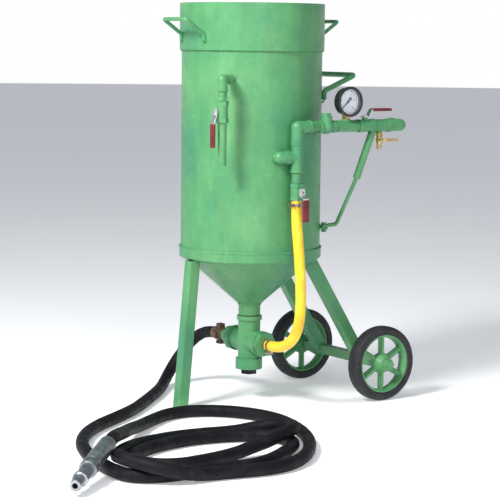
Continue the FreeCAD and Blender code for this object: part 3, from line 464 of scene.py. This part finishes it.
MATERIALS = {
    "green_paint": green_paint(),
    "black_iron": cast_iron("black_iron", (0.012, 0.012, 0.014), (0.035, 0.032, 0.030), 260.0),
    "seal_rubber": seal_rubber(),
    "tyre_rubber": tyre_rubber(),
    "yellow_rubber": yellow_rubber(),
    "hose_rubber": hose_rubber(),
    "plain_steel": metal(
        "plain_steel", (0.30, 0.20, 0.17), (0.50, 0.42, 0.38), 0.3, 0.5, (0.16, 0.06, 0.04)
    ),
    "chrome_plate": metal(
        "chrome_plate", (0.74, 0.74, 0.78), (0.92, 0.92, 0.94), 0.26, 0.42, (0.20, 0.18, 0.18)
    ),
    "brass": metal("brass", (0.55, 0.36, 0.13), (0.84, 0.66, 0.34), 0.18, 0.36, (0.16, 0.08, 0.03)),
    "bronze_iron": cast_iron("bronze_iron", (0.060, 0.034, 0.022), (0.170, 0.110, 0.075), 220.0),
    "nozzle_alloy": metal(
        "nozzle_alloy", (0.26, 0.27, 0.30), (0.50, 0.51, 0.54), 0.32, 0.55, (0.12, 0.11, 0.12), grain=350.0
    ),
    "red_sleeve": red_sleeve(),
    "gauge_black": gauge_black(),
    "dial_white": dial_white(),
    "clear_glass": clear_glass(),
}
DIAL_INK = dial_ink()


def coat(piece, material):
    piece.data.materials.clear()
    piece.data.materials.append(material)


for row in frame["record"]["subparts"]:
    coat(nodes[row["node"]], MATERIALS[row["material_slot"]])
coat(blast_hose, MATERIALS["hose_rubber"])
coat(bypass_hose, MATERIALS["yellow_rubber"])


# Mesh helpers

def added(name, mesh, body, slot):
    """Turns a bmesh into a smooth piece that rides on a body and takes its finish from a slot."""
    bmesh.ops.recalc_face_normals(mesh, faces=mesh.faces)
    data = bpy.data.meshes.new(name)
    mesh.to_mesh(data)
    mesh.free()
    data.shade_smooth()
    data.materials.append(MATERIALS[slot])
    piece = bpy.data.objects.new(name, data)
    bpy.context.scene.collection.objects.link(piece)
    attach(piece, body)
    return piece


def side_of(axis):
    side = Z if abs(axis.z) < 0.9 else X
    return (side - axis * side.dot(axis)).normalized()


def tube(mesh, points, radius, closed=False, sides=10, lumps=0.0, pitch=0.007):
    """A tube along points, whose radius can swell and sink like the ripples of a weld."""
    count = len(points)
    rings = []
    along = 0.0
    for i, point in enumerate(points):
        before = points[i - 1] if i or closed else point
        after = points[(i + 1) % count] if i + 1 < count or closed else point
        way = (after - before).normalized()
        u = side_of(way)
        v = way.cross(u)
        along += (point - before).length
        swell = 1 + lumps * math.sin(2 * math.pi * along / pitch) + lumps * noise.noise(point * 60)
        ring = []
        for k in range(sides):
            turn = 2 * math.pi * k / sides
            ring.append(mesh.verts.new(point + (u * math.cos(turn) + v * math.sin(turn)) * radius * swell))
        rings.append(ring)
    pairs = list(zip(rings, rings[1:])) + ([(rings[-1], rings[0])] if closed else [])
    for first, second in pairs:
        for k in range(sides):
            n = (k + 1) % sides
            mesh.faces.new((first[k], first[n], second[n], second[k]))
    if not closed:
        mesh.faces.new(rings[0][::-1])
        mesh.faces.new(rings[-1])


def circle(centre, axis, radius, count):
    u = side_of(axis)
    v = axis.cross(u)
    turns = [2 * math.pi * k / count for k in range(count)]
    return [centre + (u * math.cos(turn) + v * math.sin(turn)) * radius for turn in turns]


def lathe(mesh, profile, centre, axis, steps):
    """A closed solid of revolution from (radius, along) in metres, whose ends may be on the axis."""
    rings = []
    for radius, along in profile:
        base = centre + axis * along
        ring = circle(base, axis, radius, steps) if radius > 1e-6 else [base]
        rings.append([mesh.verts.new(point) for point in ring])
    if profile[0][0] > 1e-6 and profile[-1][0] > 1e-6:
        rings.append(rings[0])
    for first, second in zip(rings, rings[1:]):
        for k in range(steps):
            n = (k + 1) % steps
            corners = [first[k % len(first)], first[n % len(first)]]
            corners += [second[n % len(second)], second[k % len(second)]]
            unique = list(dict.fromkeys(corners))
            if len(unique) > 2:
                mesh.faces.new(unique)


# Weld beads

def weld_ring(name, centre, axis, ring_r, bead_r, body="pot"):
    mesh = bmesh.new()
    count = max(36, int(2 * math.pi * ring_r / 0.0017))
    tube(mesh, circle(centre, axis, ring_r, count), bead_r, closed=True, sides=8, lumps=0.16)
    return added(name, mesh, body, "green_paint")


def make_welds():
    weld_ring("collar_weld", at(0, 0, COLLAR_LOW - 1.5), Z, (TANK_R + 1.0) / 1000, 0.0026)
    weld_ring("band_weld", at(0, 0, SHELL_LOW + 1.0), Z, (TANK_R + 1.2) / 1000, 0.0042)
    weld_ring("cone_weld", at(0, 0, BAND_LOW - 0.5), Z, (CONE_TOP_R + 4.0) / 1000, 0.0034)
    weld_ring("neck_weld", at(0, 0, NECK_TOP + 0.5), Z, NECK_R / 1000, 0.0032)
    outward = vent_at(1000, 0) - vent_at(0, 0)
    weld_ring("vent_weld", vent_at(TANK_R + 1.0, 1050), outward.normalized(), 0.0150, 0.0028)
    weld_ring("inlet_weld", at(-50, -220.9, 809), Vector((0.221, 0.975, 0)), 0.0212, 0.0034)
    weld_ring("gauge_boss_weld", at(187, RUN_Y, RUN_Z + 17.5), Z, 0.0148, 0.0020)
    for side, name in ((-1, "near"), (1, "far")):
        weld_ring(name + "_push_handle_weld", at(188.5, side * 126, 982), X, 0.0090, 0.0026)
    for end, reach in (("front", -223.5), ("rear", 223.5)):
        for side, name in ((-1, "near"), (1, "far")):
            place = at(reach, side * 65, 1166)
            weld_ring(end + "_" + name + "_handle_weld", place, X, 0.0066, 0.0024)


# Wheels

def tyre_profile():
    """The tyre's outline: rounded shoulders, a rib on each side wall and two grooves round the tread."""
    half = [
        (RIM_R + 0.2, 0.0),
        (RIM_R + 0.2, 21.0),
        (RIM_R + 3.0, 23.6),
        (RIM_R + 7.0, 24.6),
        (RIM_R + 9.0, 23.4),
        (RIM_R + 11.0, 24.8),
        (WHEEL_R - 11.0, 24.4),
        (WHEEL_R - 6.0, 22.2),
        (WHEEL_R - 2.4, 18.4),
        (WHEEL_R - 0.8, 13.6),
        (WHEEL_R - 0.4, 10.4),
        (WHEEL_R - 2.2, 9.4),
        (WHEEL_R - 2.2, 8.0),
        (WHEEL_R - 0.2, 7.0),
        (WHEEL_R - 0.1, 0.0),
    ]
    far = [(radius, -along) for radius, along in half[1:-1]]
    return [(radius / 1000, along / 1000) for radius, along in half + far[::-1]]


def make_tyre(side, name):
    mesh = bmesh.new()
    lathe(mesh, tyre_profile(), at(AXLE_X, side * WHEEL_Y, WHEEL_R), Y, 144)
    tyre = added(name + "_tyre_moulded", mesh, name + "_wheel", "tyre_rubber")
    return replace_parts(tyre, name + "_tyre")


# Valve handles

def rounded_box(mesh, low, high, radius):
    """A box with rounded edges between two corners, in the handle's own axes."""
    made = bmesh.ops.create_cube(mesh, size=1.0)["verts"]
    middle = (low + high) / 2
    size = high - low
    for vert in made:
        vert.co = middle + Vector((vert.co.x * size.x, vert.co.y * size.y, vert.co.z * size.z))
    edges = list({edge for vert in made for edge in vert.link_edges})
    bmesh.ops.bevel(mesh, geom=edges, offset=radius, segments=4, profile=0.5, affect="EDGES")


def make_sleeve(prefix, body, long_axis):
    """The dipped sleeve over a lever: soft corners and a raised ridge along it."""
    low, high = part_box(prefix + "_grip")
    mesh = bmesh.new()
    rounded_box(mesh, low, high, 0.0034)
    middle = (low + high) / 2
    size = high - low
    thin = min(range(3), key=lambda k: size[k])
    ridge_low, ridge_high = middle.copy(), middle.copy()
    for k in range(3):
        share = 0.36 if k == long_axis else (0.56 if k == thin else 0.16)
        ridge_low[k] -= size[k] * share
        ridge_high[k] += size[k] * share
    for k in range(3):
        ridge_low[k] = max(ridge_low[k], low[k] - 0.0006)
        ridge_high[k] = min(ridge_high[k], high[k] + 0.0006)
    rounded_box(mesh, ridge_low, ridge_high, 0.0012)
    sleeve = added(prefix + "_sleeve", mesh, body, "red_sleeve")
    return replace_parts(sleeve, prefix + "_grip")


# Gauge

GAUGE_CENTRE = at(187, -248, 980)
DIAL_FACE = 0.01655
ZERO_TURN = math.radians(225)
SWEEP = math.radians(270)


def dial_point(turn, radius, lift):
    return GAUGE_CENTRE + Vector((math.cos(turn) * radius, -DIAL_FACE - lift, math.sin(turn) * radius))


def make_dial_marks():
    mesh = bmesh.new()
    for step in range(51):
        turn = ZERO_TURN - SWEEP * step / 50
        long = step % 10 == 0
        inner = 0.0300 if long else (0.0318 if step % 5 == 0 else 0.0332)
        half = 0.00045 if long else 0.00024
        side = Vector((-math.sin(turn), 0, math.cos(turn))) * half
        verts = []
        for lift in (0.0, 0.0002):
            for radius in (inner, 0.0362):
                for sign in (-1, 1):
                    verts.append(mesh.verts.new(dial_point(turn, radius, lift) + side * sign))
        for face in ((0, 1, 3, 2), (4, 6, 7, 5), (0, 4, 5, 1), (2, 3, 7, 6), (0, 2, 6, 4), (1, 5, 7, 3)):
            mesh.faces.new([verts[k] for k in face])
    outer_ring = [dial_point(2 * math.pi * k / 90, 0.0366, 0.0) for k in range(90)]
    tube(mesh, outer_ring, 0.00022, closed=True, sides=6)
    for number in range(6):
        turn = ZERO_TURN - SWEEP * number / 5
        text = bpy.data.curves.new("number", "FONT")
        text.body = str(2 * number)
        text.size = 0.0078
        text.extrude = 0.00012
        text.align_x = "CENTER"
        text.align_y = "CENTER"
        holder = bpy.data.objects.new("number", text)
        flat = bpy.data.meshes.new_from_object(holder)
        place = dial_point(turn, 0.0245, 0.0001)
        flat.transform(Matrix.Translation(place) @ Matrix.Rotation(math.pi / 2, 4, "X"))
        mesh.from_mesh(flat)
        bpy.data.meshes.remove(flat)
        bpy.data.objects.remove(holder)
        bpy.data.curves.remove(text)
    marks = added("dial_marks", mesh, "pot", "gauge_black")
    coat(marks, DIAL_INK)
    marks.data.shade_flat()


# Pipe threads

def threads(name, start, end, radius, pitch=2.3):
    """The exposed turns of a tapered pipe thread, painted over."""
    axis = (end - start).normalized()
    length = (end - start).length
    turns = max(1, round(length * 1000 / pitch))
    profile = [((radius - 1.2) / 1000, 0.0)]
    for turn in range(turns):
        low = length * turn / turns
        profile += [((radius - 0.4) / 1000, low), ((radius + 0.9) / 1000, low + length / turns * 0.5)]
    profile += [((radius - 0.4) / 1000, length), ((radius - 1.2) / 1000, length)]
    mesh = bmesh.new()
    lathe(mesh, profile, start, axis, 48)
    return added(name, mesh, "pot", "green_paint")


def make_threads():
    threads("vent_nipple_thread", vent_at(VENT_REACH, 998), vent_at(VENT_REACH, 1013), 13.4)
    threads("riser_low_thread", at(0, RUN_Y, 729), at(0, RUN_Y, 761), 16.8)
    threads("check_valve_thread", at(48, RUN_Y, RUN_Z), at(77, RUN_Y, RUN_Z), 16.8)
    threads("blast_nipple_thread", at(0, 103, BRANCH_Z), at(0, 138, BRANCH_Z), 19.1)


# Surroundings

def make_floor():
    mesh = bmesh.new()
    bmesh.ops.create_circle(mesh, cap_ends=True, radius=40.0, segments=128)
    data = bpy.data.meshes.new("floor")
    mesh.to_mesh(data)
    mesh.free()
    floor = bpy.data.objects.new("floor", data)
    bpy.context.scene.collection.objects.link(floor)
    s = Surface("floor")
    s.colour(s.ramp(s.noise(1.5, 4.0), [(0.3, (0.86, 0.86, 0.86)), (0.7, (0.90, 0.90, 0.90))]))
    s.rough(s.noise(4.0), 0.6, 0.8)
    coat(floor, s.set(Specular_IOR_Level=0.1, Emission_Color=(1, 1, 1, 1), Emission_Strength=0.30))


def make_light(name, azimuth, elevation, distance, size, power):
    a, e = math.radians(azimuth), math.radians(elevation)
    away = Vector((math.sin(a) * math.cos(e), -math.cos(a) * math.cos(e), math.sin(e)))
    data = bpy.data.lights.new(name, "AREA")
    data.shape = "DISK"
    data.size = size
    data.energy = power
    light = bpy.data.objects.new(name, data)
    light.location = at(-60, -80, 620) + away * distance
    light.rotation_mode = "QUATERNION"
    light.rotation_quaternion = away.to_track_quat("Z", "Y")
    bpy.context.scene.collection.objects.link(light)


def make_world():
    """A studio that is white at the horizon and dim overhead."""
    world = bpy.data.worlds.new("studio")
    world.use_nodes = True
    tree = world.node_tree
    place = tree.nodes.new("ShaderNodeTexCoord")
    split = tree.nodes.new("ShaderNodeSeparateXYZ")
    ramp = tree.nodes.new("ShaderNodeValToRGB")
    ramp.color_ramp.elements.new(0.5)
    stops = [(0.03, (1.00, 1.00, 1.00, 1)), (0.10, (0.58, 0.61, 0.66, 1)), (0.35, (0.16, 0.18, 0.22, 1))]
    for element, (position, colour) in zip(ramp.color_ramp.elements, stops):
        element.position = position
        element.color = colour
    tree.links.new(place.outputs["Generated"], split.inputs["Vector"])
    tree.links.new(split.outputs["Z"], ramp.inputs["Fac"])
    tree.links.new(ramp.outputs["Color"], tree.nodes["Background"].inputs["Color"])
    bpy.context.scene.world = world


make_welds()
make_threads()
make_tyre(-1, "near")
make_tyre(1, "far")
make_dial_marks()
make_sleeve("vent", "vent_handle", 2)
make_sleeve("inlet", "inlet_handle", 0)
make_sleeve("bypass", "bypass_handle", 2)
make_floor()
make_light("key", -72, 39, 4.5, 1.1, 260)
make_light("fill", -14, 18, 6.0, 3.0, 75)
make_light("top", -50, 78, 5.0, 2.0, 45)
make_world()
bpy.context.scene.view_settings.view_transform = "Standard"

bpy.context.view_layer.update()
